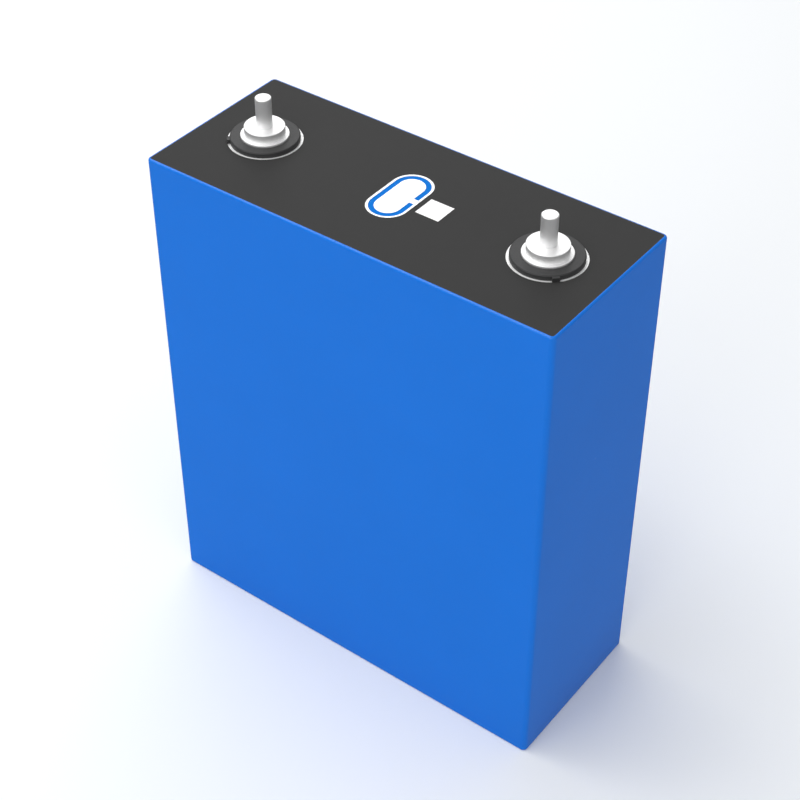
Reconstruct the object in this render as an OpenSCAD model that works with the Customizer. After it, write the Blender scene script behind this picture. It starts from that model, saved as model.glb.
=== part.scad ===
// Prismatic lithium cell with two stud terminals and a scored burst vent.
// Millimetres. The origin is the centre of the base, +X runs along the wide face,
// +Y runs through the thickness away from the front face, and +Z is up.

/* [Cell] */
// Width of the wide face, over the film
cell_l = 174.7; // [170:0.1:180]
// Thickness between the two wide faces, over the film
cell_w = 71.5; // [68:0.1:74]
// Height from the base to the top film
body_h = 204.8; // [195:0.1:215]
// Radius of the four upright edges, over the film
corner_r = 2; // [2:0.1:3]
// Radius of the edges around the top and the base, over the film
edge_r = 0.95; // [0.5:0.05:1]
// Thickness of the blue, black and base films
film_t = 0.15; // [0.1:0.01:0.2]
// Width of the blue film's fold under the base
fold_w = 9; // [5:0.5:15]

/* [Case] */
// Thickness of the drawn case's walls
wall_t = 0.9; // [0.85:0.05:1.2]
// Thickness of the case's floor
floor_t = 1.5; // [1:0.1:2]
// Radius of the corners inside the case
inner_r = 1.2; // [1:0.1:2]
// Thickness of the lid plate
lid_t = 2.5; // [2:0.1:3]

/* [Terminals] */
// Distance between the two stud axes
terminal_pitch = 122.9; // [118:0.1:126]
// Diameter of the hole in the top film around each terminal
film_hole_d = 28; // [27.5:0.1:30]
// Outer diameter of the plastic ring under each terminal
ring_d = 25.9; // [24:0.1:26.5]
// Height of the plastic ring above the top film
ring_top = 1.8; // [1.4:0.1:2.2]
// Chamfer around the plastic ring's upper edge
ring_chamfer = 0.35; // [0.1:0.05:0.6]
// Width of the plastic ring's key
key_w = 2.6; // [2:0.1:4]
// Angle of the key from the line between the terminals
key_angle = 45; // [30:1:60]
// Diameter of the terminal's flange
flange_d = 18; // [17:0.1:19]
// Height of the flange's upper face above the top film
flange_top = 2.5; // [2.2:0.1:3]
// Diameter of the terminal's raised boss, the busbar's seat
boss_d = 15.1; // [14:0.1:16]
// Height of the boss above the top film
boss_top = 5.75; // [5:0.05:6.5]
// Diameter of the terminal stud
stud_d = 6; // [5:0.5:6.5]
// Height of the stud's tip above the top film
stud_top = 17.4; // [14:0.1:20]
// Chamfer at the stud's tip
stud_chamfer = 0.25; // [0.1:0.05:0.5]
// Diameter of the pole that runs through the lid
pole_d = 9; // [8:0.1:10]
// Diameter of the pole's head under the lid
pole_head_d = 16; // [15:0.1:17]
// Diameter of the lid's hole for the pole
lid_hole_d = 12; // [11:0.1:13]

/* [Burst vent] */
// Width of the vent's window in the top film
vent_w = 16; // [15:0.1:17]
// Length of the vent's window, along the cell's thickness
vent_l = 30; // [28:0.1:32]
// Width of the bare rim around the flap
vent_rim_w = 1; // [0.8:0.1:1.5]
// Width of the sealed score band around the flap's panel
score_w = 2; // [1.5:0.1:2.5]
// Depth of the score band
score_depth = 0.25; // [0.2:0.01:0.3]
// Thickness of the blue sealing film in the score band
score_film_t = 0.1; // [0.05:0.01:0.15]
// Width of the unscored bridge that the flap folds about
bridge_w = 2.7; // [2:0.1:4]
// Thickness of the flap's panel
flap_t = 0.5; // [0.4:0.05:0.6]
// Thickness of the vent's rim
vent_rim_t = 0.8; // [0.7:0.05:1]

/* [Top film and fill port] */
// Side of the square window over the lid's marking area
window_side = 10; // [6:0.5:10]
// Distance of that window's centre from the vent's centre
window_x = 15; // [14:0.1:20]
// Distance of the fill port from the vent's centre
fill_x = 28; // [24:0.5:34]
// Diameter of the fill hole
fill_d = 4; // [3:0.1:5]
// Diameter of the welded cap over the fill hole
fill_cap_d = 9; // [8:0.1:10]
// Thickness of the welded cap
fill_cap_t = 0.6; // [0.4:0.05:0.8]

/* [Inner parts] */
// Thickness of the insulators under the lid
lower_t = 2.5; // [2:0.1:3]
// Thickness of the current collector plates
collector_t = 1.5; // [1:0.1:1.5]
// Width of a current collector plate, along the cell's width
collector_l = 44; // [40:1:46]
// Length of a current collector plate, through the cell's thickness
collector_w = 58; // [54:1:60]
// Depth of the space between the lid's underside and the wound cores
head_room = 11.3; // [11:0.1:14]
// Thickness of the insulating bag
bag_t = 0.2; // [0.1:0.05:0.25]
// Thickness of the support plate under the cores
support_t = 1.5; // [1:0.1:2]
// Length of the gap at each core's winding axis
core_slit_l = 138; // [120:1:139]

/* [Hidden] */
$fn = 96;

// Clearance of pieces that are assembled into one another
gap = 0.05;
// Extra length of a cutting shape past the faces that it opens
cut = 1;

// The cell from outside to inside
case_l = cell_l - 2 * film_t;
case_w = cell_w - 2 * film_t;
inner_l = case_l - 2 * wall_t;
inner_w = case_w - 2 * wall_t;
floor_z = film_t + floor_t;
lid_top = body_h - film_t;
lid_z = lid_top - lid_t;

// Sides of the terminals: the positive one is on +X
POSITIVE = 1;
NEGATIVE = -1;
terminal_x = terminal_pitch / 2;

// The stack of pieces through the lid at a terminal
ring_floor_t = 0.75;
terminal_z = lid_top + ring_floor_t;
pole_top = body_h + 2;
pole_head_t = 1;
stud_spigot_r = stud_d / 2 - 0.3;
stud_recess = 0.08;
collector_top = lid_z - lower_t;
collector_z = collector_top - collector_t;

// The burst vent
flap_clearance = 0.1;
flap_w = vent_w - 2 * vent_rim_w - flap_clearance;
flap_l = vent_l - 2 * vent_rim_w - flap_clearance;
panel_w = flap_w - 2 * score_w;
panel_l = flap_l - 2 * score_w;
vent_weld_w = 1;
vent_outer_w = vent_w + 2 * vent_weld_w;
vent_outer_l = vent_l + 2 * vent_weld_w;

// The wound cores and what holds them
bag_clearance = 0.3;
core_clearance = 0.3;
bag_l = inner_l - 2 * bag_clearance;
bag_w = inner_w - 2 * bag_clearance;
bag_top = body_h - 10;
core_z = floor_z + support_t + bag_t;
core_top = lid_z - head_room;
core_gap = 0.2;
core_l = bag_l - 2 * bag_t - 2 * core_clearance;
core_w = (bag_w - 2 * bag_t - core_gap) / 2 - 0.1;
core_y = core_w / 2 + core_gap / 2;
core_slit_w = 0.6;
tab_t = 1.4;

// A rectangle with round corners.
module round_rect(l, w, r) {
    square([l - 2 * r, w], center = true);
    square([l, w - 2 * r], center = true);
    for (sx = [-1, 1], sy = [-1, 1])
        translate([sx * (l / 2 - r), sy * (w / 2 - r)]) circle(r);
}

// A rectangle with semicircular ends, long along Y.
module slot_shape(w, l) {
    square([w, l - w], center = true);
    for (sy = [-1, 1])
        translate([0, sy * (l - w) / 2]) circle(d = w);
}

// A block from z0 to z1 whose upright edges have the radius upright_r and whose edges around
// the top and the base have the radius r, at most half as large.
module round_block(l, w, z0, z1, upright_r, r) {
    h = z1 - z0;
    straight_l = l - 2 * upright_r;
    straight_w = w - 2 * upright_r;
    translate([0, 0, z0 + h / 2]) {
        rotate([90, 0, 90]) linear_extrude(straight_l, center = true) round_rect(w, h, r);
        rotate([90, 0, 0]) linear_extrude(straight_w, center = true) round_rect(l, h, r);
    }
    for (sx = [-1, 1], sy = [-1, 1])
        translate([sx * straight_l / 2, sy * straight_w / 2, z0]) rotate_extrude() {
            square([upright_r - r, h]);
            translate([0, r]) square([upright_r, h - 2 * r]);
            for (z = [r, h - r])
                translate([upright_r - r, z]) circle(r);
        }
}

// Outline of the flat top, inside its rounded edges.
module top_outline() {
    round_rect(cell_l - 2 * edge_r, cell_w - 2 * edge_r, corner_r - edge_r);
}

// Moves its children to a terminal's axis.
module at_terminal(side) {
    translate([side * terminal_x, 0, 0]) children();
}

// Drawn aluminium case, open at the top.
module can() {
    color("silver") difference() {
        round_block(case_l, case_w, film_t, lid_top, corner_r - film_t, edge_r - film_t);
        translate([0, 0, floor_z]) linear_extrude(body_h) round_rect(inner_l, inner_w, inner_r);
    }
}

// Blue film around the four sides, over the upper edges and folded under the base.
module wrap_film() {
    color([0.11, 0.42, 0.83]) difference() {
        round_block(cell_l, cell_w, 0, body_h, corner_r, edge_r);
        round_block(case_l, case_w, film_t, lid_top, corner_r - film_t, edge_r - film_t);
        translate([0, 0, body_h / 2]) linear_extrude(body_h) top_outline();
        translate([fold_w - cell_l / 2, fold_w - cell_w / 2, -cut])
            cube([cell_l - 2 * fold_w, cell_w - 2 * fold_w, body_h / 2]);
    }
}

// Film between the folds, on the base.
module base_film() {
    color([0.11, 0.42, 0.83])
        translate([fold_w - cell_l / 2, fold_w - cell_w / 2, 0])
            cube([cell_l - 2 * fold_w, cell_w - 2 * fold_w, film_t]);
}

// Black film on the lid, open at the terminals, the vent and the marking area.
module top_film() {
    color([0.07, 0.07, 0.07]) translate([0, 0, lid_top]) linear_extrude(film_t) difference() {
        top_outline();
        for (side = [NEGATIVE, POSITIVE])
            translate([side * terminal_x, 0]) circle(d = film_hole_d);
        slot_shape(vent_w, vent_l);
        translate([window_x, 0]) square(window_side, center = true);
    }
}

// Lid plate, welded into the mouth of the case.
module lid_plate() {
    color("gainsboro") difference() {
        translate([0, 0, lid_z]) linear_extrude(lid_t)
            round_rect(inner_l - 2 * gap, inner_w - 2 * gap, inner_r);
        for (side = [NEGATIVE, POSITIVE])
            at_terminal(side) translate([0, 0, lid_z - cut])
                cylinder(h = lid_t + 2 * cut, d = lid_hole_d);
        translate([0, 0, lid_z - cut]) linear_extrude(lid_t + 2 * cut)
            slot_shape(vent_w - vent_rim_w, vent_l - vent_rim_w);
        translate([0, 0, lid_top - vent_rim_t]) linear_extrude(vent_rim_t + cut)
            slot_shape(vent_outer_w + 2 * gap, vent_outer_l + 2 * gap);
        translate([-fill_x, 0, lid_z - cut]) cylinder(h = lid_t + 2 * cut, d = fill_d);
        translate([-fill_x, 0, lid_top - fill_cap_t])
            cylinder(h = fill_cap_t + cut, d = fill_cap_d + 2 * gap);
    }
}

// Rim of the burst vent, welded into the lid's recess.
module vent_rim() {
    color("whitesmoke") translate([0, 0, lid_top - vent_rim_t])
        linear_extrude(vent_rim_t) difference() {
            slot_shape(vent_outer_w, vent_outer_l);
            slot_shape(vent_w - 2 * vent_rim_w, vent_l - 2 * vent_rim_w);
        }
}

// Flap of the burst vent: a thinned band around a full-thickness panel, with the
// unscored bridge on the +X side.
module vent_flap() {
    color("white") {
        translate([0, 0, lid_top - flap_t]) linear_extrude(flap_t - score_depth)
            slot_shape(flap_w, flap_l);
        translate([0, 0, lid_top - flap_t]) linear_extrude(flap_t)
            slot_shape(panel_w, panel_l);
        translate([0, -bridge_w / 2, lid_top - flap_t]) cube([flap_w / 2, bridge_w, flap_t]);
    }
}

// C-shaped sealing film in the flap's score band.
module vent_score_film() {
    color([0.1, 0.5, 0.9]) translate([0, 0, lid_top - score_depth])
        linear_extrude(score_film_t) difference() {
            slot_shape(flap_w, flap_l);
            slot_shape(panel_w, panel_l);
            translate([0, -bridge_w / 2]) square([flap_w, bridge_w]);
        }
}

// Plastic grille between the vent and the cores.
module vent_guard() {
    guard_l = 22;
    guard_w = 60;
    slot_count = 5;
    slot_w = 1.8;
    slot_pitch = 2.9;
    slot_l = 24;
    color("ivory") translate([0, 0, lid_z - lower_t]) linear_extrude(lower_t) difference() {
        round_rect(guard_l, guard_w, 2);
        for (i = [0 : slot_count - 1])
            translate([(i - (slot_count - 1) / 2) * slot_pitch, 0])
                slot_shape(slot_w, slot_l);
    }
}

// Rubber plug pressed into the fill hole.
module fill_plug() {
    plug_l = lid_t - fill_cap_t + 1;
    color("dimgray") translate([-fill_x, 0, lid_top - fill_cap_t - plug_l])
        cylinder(h = plug_l, d = fill_d - 2 * gap);
}

// Thin disc welded over the fill plug, level with the lid.
module fill_cap() {
    color("silver") translate([-fill_x, 0, lid_top - fill_cap_t])
        cylinder(h = fill_cap_t, d = fill_cap_d);
}

// Plastic ring that keeps a terminal off the lid, with the key that stops it turning.
module terminal_ring(side) {
    ring_r = ring_d / 2;
    pocket_r = flange_d / 2 + gap;
    hole_r = pole_d / 2 + gap;
    ring_z = body_h + ring_top;
    key_r = film_hole_d / 2 - gap;
    key_drop = 0.3;
    key_direction = side > 0 ? -key_angle : key_angle - 180;
    color([0.05, 0.05, 0.05]) at_terminal(side) difference() {
        union() {
            rotate_extrude() polygon([
                [0, lid_top], [ring_r, lid_top], [ring_r, ring_z - ring_chamfer],
                [ring_r - ring_chamfer, ring_z], [0, ring_z]]);
            rotate([0, 0, key_direction]) translate([0, -key_w / 2, lid_top])
                cube([key_r, key_w, ring_z - key_drop - lid_top]);
        }
        translate([0, 0, terminal_z]) cylinder(h = ring_z, r = pocket_r);
        translate([0, 0, lid_top - cut]) cylinder(h = ring_z, r = hole_r);
    }
}

// Terminal block: a flange held in the plastic ring and a raised boss.
module terminal(side) {
    flange_r = flange_d / 2;
    flange_z = body_h + flange_top;
    boss_r = boss_d / 2;
    boss_z = body_h + boss_top;
    recess_r = stud_d / 2 + gap;
    recess_z = boss_z - stud_recess;
    socket_r = stud_spigot_r + gap;
    pole_r = pole_d / 2 + gap;
    bevel = 0.15;
    color("white") at_terminal(side) rotate_extrude() polygon([
        [pole_r, terminal_z], [flange_r, terminal_z],
        [flange_r, flange_z - bevel], [flange_r - bevel, flange_z], [boss_r, flange_z],
        [boss_r, boss_z - bevel], [boss_r - bevel, boss_z], [recess_r, boss_z], [recess_r, recess_z],
        [socket_r, recess_z], [socket_r, pole_top], [pole_r, pole_top]]);
}

// Stud whose shoulder stands in a shallow recess in the boss and whose spigot is pressed
// into the block.
module stud(side) {
    stud_r = stud_d / 2;
    shoulder_z = body_h + boss_top - stud_recess;
    tip_z = body_h + stud_top;
    color("lightgray") at_terminal(side) rotate_extrude() polygon([
        [0, pole_top], [stud_spigot_r, pole_top],
        [stud_spigot_r, shoulder_z], [stud_r, shoulder_z], [stud_r, tip_z - stud_chamfer],
        [stud_r - stud_chamfer, tip_z], [0, tip_z]]);
}

// Pole that carries the current through the lid.
module pole(side) {
    color(side > 0 ? "silver" : "peru") at_terminal(side) {
        translate([0, 0, collector_top]) cylinder(h = pole_head_t, d = pole_head_d - 2 * gap);
        translate([0, 0, collector_top]) cylinder(h = pole_top - collector_top, d = pole_d);
    }
}

// Rubber seal between the pole and the lid.
module seal(side) {
    color("darkgreen") at_terminal(side) difference() {
        union() {
            translate([0, 0, collector_top + pole_head_t])
                cylinder(h = lower_t - pole_head_t, d = pole_head_d - 2 * gap);
            translate([0, 0, lid_z - gap])
                cylinder(h = lid_t + gap, d = lid_hole_d - 2 * gap);
        }
        translate([0, 0, lid_z - lid_t - cut])
            cylinder(h = 2 * lid_t + 2 * cut, d = pole_d + 2 * gap);
    }
}

// Insulator plate under one half of the lid, with a skirt that hangs around the tabs.
module lower_insulator(side) {
    inner_x = 12;
    outer_x = bag_l / 2 - bag_t - 0.5;
    half_w = bag_w / 2 - bag_t - 0.4;
    plate_l = outer_x - inner_x;
    skirt_t = 1.2;
    skirt_h = 7;
    centre_x = (inner_x + outer_x) / 2;
    port_d = 6;
    color("ivory") difference() {
        translate([side * centre_x, 0, collector_top - skirt_h]) linear_extrude(lower_t + skirt_h)
            round_rect(plate_l, 2 * half_w, 1);
        translate([side * centre_x, 0, collector_top - skirt_h - cut]) linear_extrude(skirt_h + cut)
            square([plate_l - 2 * skirt_t, 2 * half_w - 2 * skirt_t], center = true);
        at_terminal(side) translate([0, 0, collector_top - cut])
            cylinder(h = lower_t + 2 * cut, d = pole_head_d);
        translate([-fill_x, 0, collector_top - cut])
            cylinder(h = lower_t + 2 * cut, d = port_d);
    }
}

// Plate that joins a pole to the tabs of both cores, with a neck between its two wings.
module collector(side) {
    slit_l = 12;
    slit_w = 1.5;
    slit_x = collector_l / 2 - slit_l / 2;
    slit_y = 11;
    slit_overrun = 0.01;
    color(side > 0 ? "silver" : "peru") at_terminal(side)
        translate([0, 0, collector_z]) linear_extrude(collector_t) difference() {
            round_rect(collector_l, collector_w, 2);
            for (sx = [-1, 1], sy = [-1, 1])
                translate([sx * slit_x, sy * slit_y])
                    square([slit_l + slit_overrun, slit_w], center = true);
        }
}

// Wound electrode core: a flattened roll with a slit where it was wound. The face sign is
// -1 for the front core and 1 for the rear one.
module wound_core(face) {
    color("dimgray") translate([0, face * core_y, core_z])
        linear_extrude(core_top - core_z) difference() {
            rotate(90) slot_shape(core_w, core_l);
            square([core_slit_l, core_slit_w], center = true);
        }
}

// Foil tabs of one core, gathered into a stack and folded flat under the collector.
module foil_tabs(side, face) {
    tab_l = 40;
    outer_y = 28;
    stack_y = outer_y - tab_t;
    root_y = 12;
    fold_y = 8;
    gather_z = core_top + 3;
    fold_z = collector_z - tab_t;
    color(side > 0 ? "silver" : "peru")
        translate([side * terminal_x - tab_l / 2, 0, 0]) rotate([90, 0, 90]) linear_extrude(tab_l)
            polygon([
                [face * outer_y, core_top], [face * root_y, core_top], [face * stack_y, gather_z],
                [face * stack_y, fold_z], [face * fold_y, fold_z], [face * fold_y, collector_z],
                [face * outer_y, collector_z]]);
}

// Insulating bag around both cores, open at the top.
module insulation_bag() {
    color("lightcyan") translate([0, 0, floor_z + support_t]) difference() {
        linear_extrude(bag_top - floor_z - support_t) round_rect(bag_l, bag_w, inner_r);
        translate([0, 0, bag_t]) linear_extrude(bag_top)
            round_rect(bag_l - 2 * bag_t, bag_w - 2 * bag_t, inner_r - bag_t);
    }
}

// Plastic plate that lifts the cores off the case's rounded floor, with drain holes.
module bottom_support() {
    hole_pitch_x = 50;
    hole_y = 16;
    hole_d = 8;
    color("ivory") translate([0, 0, floor_z]) linear_extrude(support_t) difference() {
        round_rect(bag_l, bag_w, 4);
        for (ix = [-1 : 1], sy = [-1, 1])
            translate([ix * hole_pitch_x, sy * hole_y]) circle(d = hole_d);
    }
}

can();
lid_plate();
wrap_film();
base_film();
top_film();
vent_rim();
vent_flap();
vent_score_film();
vent_guard();
fill_plug();
fill_cap();
terminal_ring(POSITIVE);  // positive_ring
terminal_ring(NEGATIVE);  // negative_ring
terminal(POSITIVE);  // positive_terminal
terminal(NEGATIVE);  // negative_terminal
stud(POSITIVE);  // positive_stud
stud(NEGATIVE);  // negative_stud
pole(POSITIVE);  // positive_pole
pole(NEGATIVE);  // negative_pole
seal(POSITIVE);  // positive_seal
seal(NEGATIVE);  // negative_seal
lower_insulator(POSITIVE);  // positive_lower_insulator
lower_insulator(NEGATIVE);  // negative_lower_insulator
collector(POSITIVE);  // positive_collector
collector(NEGATIVE);  // negative_collector
wound_core(-1);  // front_core
wound_core(1);  // rear_core
foil_tabs(POSITIVE, -1);  // front_positive_tabs
foil_tabs(NEGATIVE, -1);  // front_negative_tabs
foil_tabs(POSITIVE, 1);  // rear_positive_tabs
foil_tabs(NEGATIVE, 1);  // rear_negative_tabs
insulation_bag();
bottom_support();
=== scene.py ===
import math

import bpy
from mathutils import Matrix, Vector


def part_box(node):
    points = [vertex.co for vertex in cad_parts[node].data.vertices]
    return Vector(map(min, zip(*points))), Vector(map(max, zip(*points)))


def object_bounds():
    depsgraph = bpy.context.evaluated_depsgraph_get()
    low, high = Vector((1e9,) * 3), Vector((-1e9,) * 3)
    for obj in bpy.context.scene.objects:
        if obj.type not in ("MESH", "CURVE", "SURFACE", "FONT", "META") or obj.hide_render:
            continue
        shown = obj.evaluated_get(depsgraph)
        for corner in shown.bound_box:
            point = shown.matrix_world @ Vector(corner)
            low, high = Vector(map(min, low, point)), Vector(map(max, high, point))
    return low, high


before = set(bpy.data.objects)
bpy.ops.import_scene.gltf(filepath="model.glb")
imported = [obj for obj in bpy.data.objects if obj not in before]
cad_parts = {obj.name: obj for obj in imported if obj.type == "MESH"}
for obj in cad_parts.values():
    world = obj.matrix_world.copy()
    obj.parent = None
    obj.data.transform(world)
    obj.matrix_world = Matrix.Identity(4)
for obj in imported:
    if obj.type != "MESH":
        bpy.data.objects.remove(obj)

# This script puts a finished material on every CAD node of the battery cell, and sets up the
# floor, camera, lights and world. Lengths are in metres and colours are linear.

CAD_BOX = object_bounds()
LOW_CORNER, HIGH_CORNER = CAD_BOX
CELL_CENTRE = (LOW_CORNER + HIGH_CORNER) / 2
BASE_CENTRE = Vector((CELL_CENTRE.x, CELL_CENTRE.y, LOW_CORNER.z))

# The camera looks at the middle of the cell, from in front of it and to its right.
CAMERA_AZIMUTH = math.radians(36.875)
CAMERA_ELEVATION = math.radians(40.356)
CAMERA_DISTANCE = 0.6812
LENS_MM = 80.0
SENSOR_MM = 36.0
CLIP_START = 0.01
CLIP_END = 50.0

# Soft boxes around the cell: azimuth in degrees (0 in front of the cell, 90 to its right),
# elevation in degrees, and watts.
SOFT_BOXES = {
    "front_fill": (0, 30, 5.0),
    "back_left_fill": (215, 32, 5.2),
    "left_key": (270, 60, 7.4),
    "front_left_key": (315, 60, 5.3),
    "front_right_fill": (45, 60, 2.7),
    "right_fill": (80, 15, 1.8),
}
SOFT_BOX_DISTANCE = 1.5
SOFT_BOX_SIZE = 1.0
SKY = (0.4, 0.4, 0.4)
BELOW_HORIZON = (0.22, 0.22, 0.22)
FLOOR_HALF_WIDTH = 50.0

# Colours of the finishes.
BLUE_FILM = (0.001, 0.169, 0.715)
BLACK_FILM = (0.040, 0.040, 0.040)
RING_BLACK = (0.032, 0.032, 0.033)
SCORE_BLUE = (0.0005, 0.164, 0.610)
ALUMINIUM = (0.970, 0.970, 0.970)
STEEL = (0.950, 0.950, 0.950)
COPPER = (0.780, 0.370, 0.240)
NATURAL_PLASTIC = (0.720, 0.700, 0.640)
SEAL_GREEN = (0.030, 0.060, 0.045)
CORE_GREY = (0.030, 0.031, 0.034)
BAG_FILM = (0.620, 0.740, 0.800)
FLOOR_WHITE = (0.925, 0.945, 0.962)

# Plastic film: patches of uneven colour, grains of haze, and ripples.
FILM_PATCH = 0.045
FILM_HAZE = 0.004
FILM_RIPPLE = 0.010
FILM_RIPPLE_HEIGHT = 0.00006

# Moulded plastic and rubber: patches of uneven colour, and the surface grain.
MOULDED_PATCH = 0.008
MOULDED_GRAIN = 0.0006
COARSE_MOULDED_GRAIN = 0.0012
MOULDED_GRAIN_HEIGHT = 0.00005

# Rolled sheet: patches of uneven colour, and rolling lines. The factor draws the lines out.
ROLLED_PATCH = 0.012
ROLLING_LINE = 0.0005
ROLLING_LINE_FACTOR = 0.03
ROLLING_LINE_HEIGHT = 0.000008
X_AXIS = 0
Y_AXIS = 1

# Turned metal: patches of uneven colour, the surface grain, and the tool's rings.
TURNED_PATCH = 0.006
TURNED_GRAIN = 0.0007
TURNED_GRAIN_HEIGHT = 0.000006
TOOL_RING_PITCH = 0.0003
TOOL_RING_HEIGHT = 0.000012

# Wound foil: the edges of its turns. The factor draws them out.
FOIL_TURN = 0.0008
FOIL_TURN_FACTOR = 0.02
FOIL_TURN_HEIGHT = 0.00004

# Blender's wave texture turns through this many radians for each unit of its scaled coordinates.
WAVE_RADIANS_PER_UNIT = 20


def new_material(name, colour, roughness, metallic=0.0, specular=0.5):
    """A material with one Principled shader, and its node tree and shader for further work."""
    material = bpy.data.materials.new(name)
    material.use_nodes = True
    tree = material.node_tree
    shader = tree.nodes["Principled BSDF"]
    shader.inputs["Base Color"].default_value = (*colour, 1.0)
    shader.inputs["Roughness"].default_value = roughness
    shader.inputs["Metallic"].default_value = metallic
    shader.inputs["Specular IOR Level"].default_value = specular
    return material, tree, shader


def object_vector(tree, factors=(1.0, 1.0, 1.0), origin=(0.0, 0.0, 0.0)):
    """Object coordinates measured from an origin, with each axis multiplied by its factor."""
    coordinates = tree.nodes.new("ShaderNodeTexCoord")
    move = tree.nodes.new("ShaderNodeVectorMath")
    move.operation = "SUBTRACT"
    move.inputs[1].default_value = origin
    multiply = tree.nodes.new("ShaderNodeVectorMath")
    multiply.operation = "MULTIPLY"
    multiply.inputs[1].default_value = factors
    tree.links.new(coordinates.outputs["Object"], move.inputs[0])
    tree.links.new(move.outputs[0], multiply.inputs[0])
    return multiply.outputs[0]


def noise(tree, size, detail=2.0, factors=(1.0, 1.0, 1.0)):
    """Noise from 0 to 1 with grains about size across. A factor below 1 draws them out along its axis."""
    texture = tree.nodes.new("ShaderNodeTexNoise")
    texture.inputs["Scale"].default_value = 1.0 / size
    texture.inputs["Detail"].default_value = detail
    tree.links.new(object_vector(tree, factors=factors), texture.inputs["Vector"])
    return texture.outputs["Fac"]


def turned_rings(tree, pitch, axis_point):
    """Rings from 0 to 1, a pitch apart, around the vertical axis through a point."""
    texture = tree.nodes.new("ShaderNodeTexWave")
    texture.wave_type = "RINGS"
    texture.rings_direction = "Z"
    texture.inputs["Scale"].default_value = 2 * math.pi / (WAVE_RADIANS_PER_UNIT * pitch)
    tree.links.new(object_vector(tree, origin=axis_point), texture.inputs["Vector"])
    return texture.outputs["Fac"]


def vary_roughness(tree, shader, value, roughness, spread):
    """Lets a value from 0 to 1 take the roughness from a spread below to a spread above."""
    ramp = tree.nodes.new("ShaderNodeMapRange")
    ramp.inputs["To Min"].default_value = roughness - spread
    ramp.inputs["To Max"].default_value = roughness + spread
    tree.links.new(value, ramp.inputs["Value"])
    tree.links.new(ramp.outputs["Result"], shader.inputs["Roughness"])


def scaled(colour, factor):
    """A colour made lighter or darker."""
    return tuple(min(1.0, channel * factor) for channel in colour)


def vary_colour(tree, shader, value, colour, darkest, lightest=1.0):
    """Lets a value from 0 to 1 take the base colour from its darkest to its lightest share."""
    blend = tree.nodes.new("ShaderNodeMix")
    blend.data_type = "RGBA"
    blend.inputs["A"].default_value = (*scaled(colour, darkest), 1.0)
    blend.inputs["B"].default_value = (*scaled(colour, lightest), 1.0)
    tree.links.new(value, blend.inputs["Factor"])
    tree.links.new(blend.outputs["Result"], shader.inputs["Base Color"])


def add_bump(tree, shader, value, height):
    """Raises the surface by up to a height where a value is 1, over any bump already there."""
    bump = tree.nodes.new("ShaderNodeBump")
    bump.inputs["Distance"].default_value = height
    bump.inputs["Strength"].default_value = 1.0
    tree.links.new(value, bump.inputs["Height"])
    normal = shader.inputs["Normal"]
    if normal.is_linked:
        tree.links.new(normal.links[0].from_socket, bump.inputs["Normal"])
    tree.links.new(bump.outputs["Normal"], normal)


def film_material(name, colour, roughness, specular):
    """Plastic film: faint ripples, a fine haze and slightly uneven colour."""
    material, tree, shader = new_material(name, colour, roughness, specular=specular)
    vary_colour(tree, shader, noise(tree, FILM_PATCH), colour, darkest=0.96, lightest=1.04)
    vary_roughness(tree, shader, noise(tree, FILM_HAZE, detail=4.0), roughness, spread=0.04)
    add_bump(tree, shader, noise(tree, FILM_RIPPLE), FILM_RIPPLE_HEIGHT)
    return material


def moulded_material(name, colour, roughness, grain_size=MOULDED_GRAIN, specular=0.5):
    """Moulded plastic or rubber with an even grain."""
    material, tree, shader = new_material(name, colour, roughness, specular=specular)
    grain = noise(tree, grain_size, detail=3.0)
    vary_roughness(tree, shader, grain, roughness, spread=0.06)
    vary_colour(tree, shader, noise(tree, MOULDED_PATCH), colour, darkest=0.94, lightest=1.06)
    add_bump(tree, shader, grain, MOULDED_GRAIN_HEIGHT)
    return material


def rolled_metal(name, colour, roughness, along=X_AXIS, metallic=1.0):
    """Sheet metal with fine rolling lines along one axis."""
    material, tree, shader = new_material(name, colour, roughness, metallic=metallic)
    factors = [1.0, 1.0, 1.0]
    factors[along] = ROLLING_LINE_FACTOR
    lines = noise(tree, ROLLING_LINE, detail=3.0, factors=factors)
    vary_roughness(tree, shader, lines, roughness, spread=0.07)
    vary_colour(tree, shader, noise(tree, ROLLED_PATCH), colour, darkest=0.96)
    add_bump(tree, shader, lines, ROLLING_LINE_HEIGHT)
    return material


def turned_metal(name, colour, axis_point, roughness, metallic):
    """Turned metal: fine tool rings around the vertical axis through a point."""
    material, tree, shader = new_material(name, colour, roughness, metallic=metallic)
    grain = noise(tree, TURNED_GRAIN, detail=3.0)
    vary_roughness(tree, shader, grain, roughness, spread=0.06)
    vary_colour(tree, shader, noise(tree, TURNED_PATCH), colour, darkest=0.96)
    add_bump(tree, shader, turned_rings(tree, TOOL_RING_PITCH, axis_point), TOOL_RING_HEIGHT)
    add_bump(tree, shader, grain, TURNED_GRAIN_HEIGHT)
    return material


def core_material():
    """Wound foil: the edges of the turns show as fine lines along the core's length."""
    material, tree, shader = new_material("wound_foil", CORE_GREY, roughness=0.55)
    turns = noise(tree, FOIL_TURN, factors=(FOIL_TURN_FACTOR, 1.0, FOIL_TURN_FACTOR))
    vary_colour(tree, shader, turns, CORE_GREY, darkest=0.6, lightest=1.8)
    add_bump(tree, shader, turns, FOIL_TURN_HEIGHT)
    return material


def dress(material, *names):
    """Gives CAD nodes a material."""
    for name in names:
        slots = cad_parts[name].data.materials
        slots.clear()
        slots.append(material)


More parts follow.
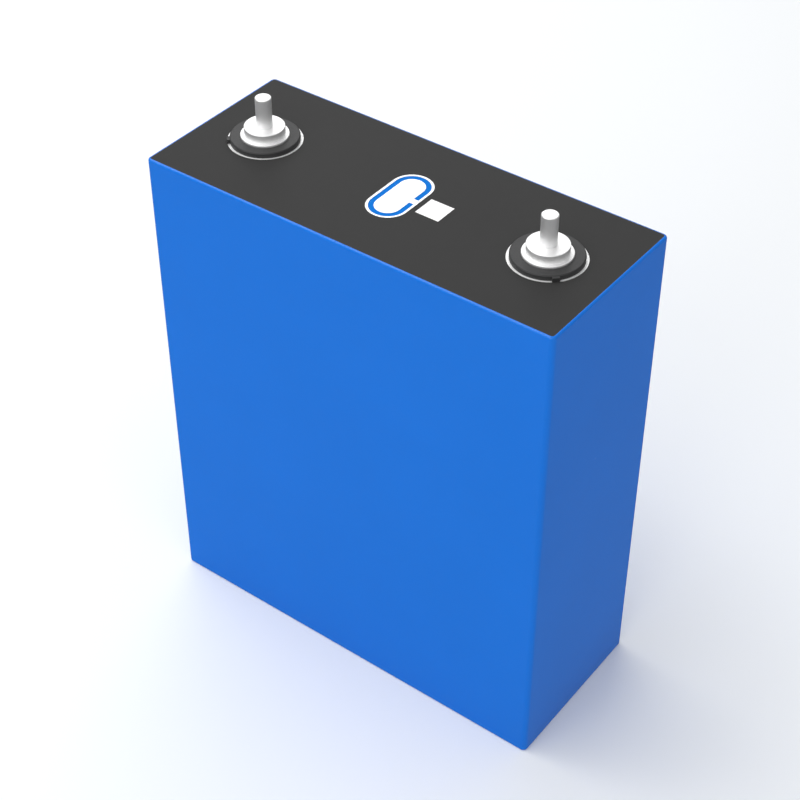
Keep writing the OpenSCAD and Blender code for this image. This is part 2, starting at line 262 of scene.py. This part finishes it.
def dress_films():
    """The outer films and the insulating bag."""
    blue = film_material("blue_wrap", BLUE_FILM, roughness=0.25, specular=0.35)
    black = film_material("black_sheet", BLACK_FILM, roughness=0.55, specular=0.06)
    seal = film_material("score_seal", SCORE_BLUE, roughness=0.35, specular=0.02)
    bag = film_material("bag_film", BAG_FILM, roughness=0.35, specular=0.5)
    dress(blue, "wrap_film", "base_film")
    dress(black, "top_film")
    dress(seal, "vent_score_film")
    dress(bag, "insulation_bag")


def dress_sheet_metal():
    """The case, the lid, the vent and the conductors inside."""
    lid = rolled_metal("lid_sheet", ALUMINIUM, roughness=0.50, metallic=0.5)
    case = rolled_metal("case_sheet", ALUMINIUM, roughness=0.40)
    vent = rolled_metal("vent_sheet", ALUMINIUM, roughness=0.45, along=Y_AXIS, metallic=0.8)
    inner = rolled_metal("inner_sheet", ALUMINIUM, roughness=0.30)
    copper = rolled_metal("copper_sheet", COPPER, roughness=0.30)
    dress(lid, "lid_plate", "fill_cap")
    dress(case, "can")
    dress(vent, "vent_rim", "vent_flap")
    dress(inner, "positive_collector", "positive_pole", "front_positive_tabs", "rear_positive_tabs")
    dress(copper, "negative_collector", "negative_pole", "front_negative_tabs", "rear_negative_tabs")


def dress_terminals():
    """The turned blocks and studs on the lid."""
    for side in ("positive", "negative"):
        low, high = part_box(f"{side}_stud")
        axis_point = ((low.x + high.x) / 2, (low.y + high.y) / 2, 0.0)
        block = turned_metal(f"{side}_block", ALUMINIUM, axis_point, roughness=0.50, metallic=0.8)
        stud = turned_metal(f"{side}_stud_steel", STEEL, axis_point, roughness=0.50, metallic=0.88)
        dress(block, f"{side}_terminal")
        dress(stud, f"{side}_stud")


def dress_moulded_parts():
    """The terminal rings, the insulators, the seals and the support plate."""
    ring = moulded_material("ring_plastic", RING_BLACK, roughness=0.50, specular=0.35)
    natural = moulded_material("natural_plastic", NATURAL_PLASTIC, roughness=0.50,
                               grain_size=COARSE_MOULDED_GRAIN)
    seal = moulded_material("seal_rubber", SEAL_GREEN, roughness=0.65)
    dress(ring, "positive_ring", "negative_ring")
    dress(natural, "vent_guard", "positive_lower_insulator", "negative_lower_insulator",
          "bottom_support")
    dress(seal, "positive_seal", "negative_seal", "fill_plug")


def toward(azimuth, elevation):
    """The unit vector from the cell in a direction given in radians."""
    return Vector((math.sin(azimuth) * math.cos(elevation),
                   -math.cos(azimuth) * math.cos(elevation),
                   math.sin(elevation)))


def add_floor():
    """A pale floor under the cell that reaches the horizon."""
    half = FLOOR_HALF_WIDTH
    mesh = bpy.data.meshes.new("floor")
    corners = [(-half, -half, 0.0), (half, -half, 0.0), (half, half, 0.0), (-half, half, 0.0)]
    mesh.from_pydata(corners, [], [(0, 1, 2, 3)])
    floor = bpy.data.objects.new("floor", mesh)
    floor.location = BASE_CENTRE
    bpy.context.scene.collection.objects.link(floor)
    material, _tree, _shader = new_material("floor_white", FLOOR_WHITE, roughness=0.9, specular=0.2)
    mesh.materials.append(material)
    # Glossy faces mirror the dim light below the horizon instead of the bright floor.
    floor.visible_glossy = False


def add_camera():
    """The camera of the main view."""
    back = toward(CAMERA_AZIMUTH, CAMERA_ELEVATION)
    data = bpy.data.cameras.new("camera")
    data.lens = LENS_MM
    data.sensor_width = SENSOR_MM
    data.clip_start = CLIP_START
    data.clip_end = CLIP_END
    camera = bpy.data.objects.new("camera", data)
    camera.location = CELL_CENTRE + back * CAMERA_DISTANCE
    camera.rotation_mode = "QUATERNION"
    camera.rotation_quaternion = (-back).to_track_quat("-Z", "Y")
    bpy.context.scene.collection.objects.link(camera)
    bpy.context.scene.camera = camera


def add_lights():
    """Square soft boxes that face the cell."""
    for name, (azimuth, elevation, watts) in SOFT_BOXES.items():
        direction = toward(math.radians(azimuth), math.radians(elevation))
        data = bpy.data.lights.new(name, "AREA")
        data.shape = "SQUARE"
        data.size = SOFT_BOX_SIZE
        data.energy = watts
        light = bpy.data.objects.new(name, data)
        light.location = CELL_CENTRE + direction * SOFT_BOX_DISTANCE
        light.rotation_mode = "QUATERNION"
        light.rotation_quaternion = direction.to_track_quat("Z", "Y")
        bpy.context.scene.collection.objects.link(light)


def add_world():
    """An even pale sky. Below the horizon its light is dimmer, but the camera sees the same sky."""
    world = bpy.data.worlds.new("studio")
    world.use_nodes = True
    tree = world.node_tree
    direction = tree.nodes.new("ShaderNodeTexCoord")
    split = tree.nodes.new("ShaderNodeSeparateXYZ")
    above_horizon = tree.nodes.new("ShaderNodeMath")
    above_horizon.operation = "GREATER_THAN"
    above_horizon.inputs[1].default_value = 0.0
    path = tree.nodes.new("ShaderNodeLightPath")
    pale = tree.nodes.new("ShaderNodeMath")
    pale.operation = "MAXIMUM"
    blend = tree.nodes.new("ShaderNodeMix")
    blend.data_type = "RGBA"
    blend.inputs["A"].default_value = (*BELOW_HORIZON, 1.0)
    blend.inputs["B"].default_value = (*SKY, 1.0)
    tree.links.new(direction.outputs["Generated"], split.inputs[0])
    tree.links.new(split.outputs["Z"], above_horizon.inputs[0])
    tree.links.new(above_horizon.outputs[0], pale.inputs[0])
    tree.links.new(path.outputs["Is Camera Ray"], pale.inputs[1])
    tree.links.new(pale.outputs[0], blend.inputs["Factor"])
    tree.links.new(blend.outputs["Result"], tree.nodes["Background"].inputs["Color"])
    bpy.context.scene.world = world


dress_films()
dress_sheet_metal()
dress_terminals()
dress_moulded_parts()
dress(core_material(), "front_core", "rear_core")
add_floor()
add_camera()
add_lights()
add_world()
bpy.context.scene.view_settings.view_transform = "Standard"
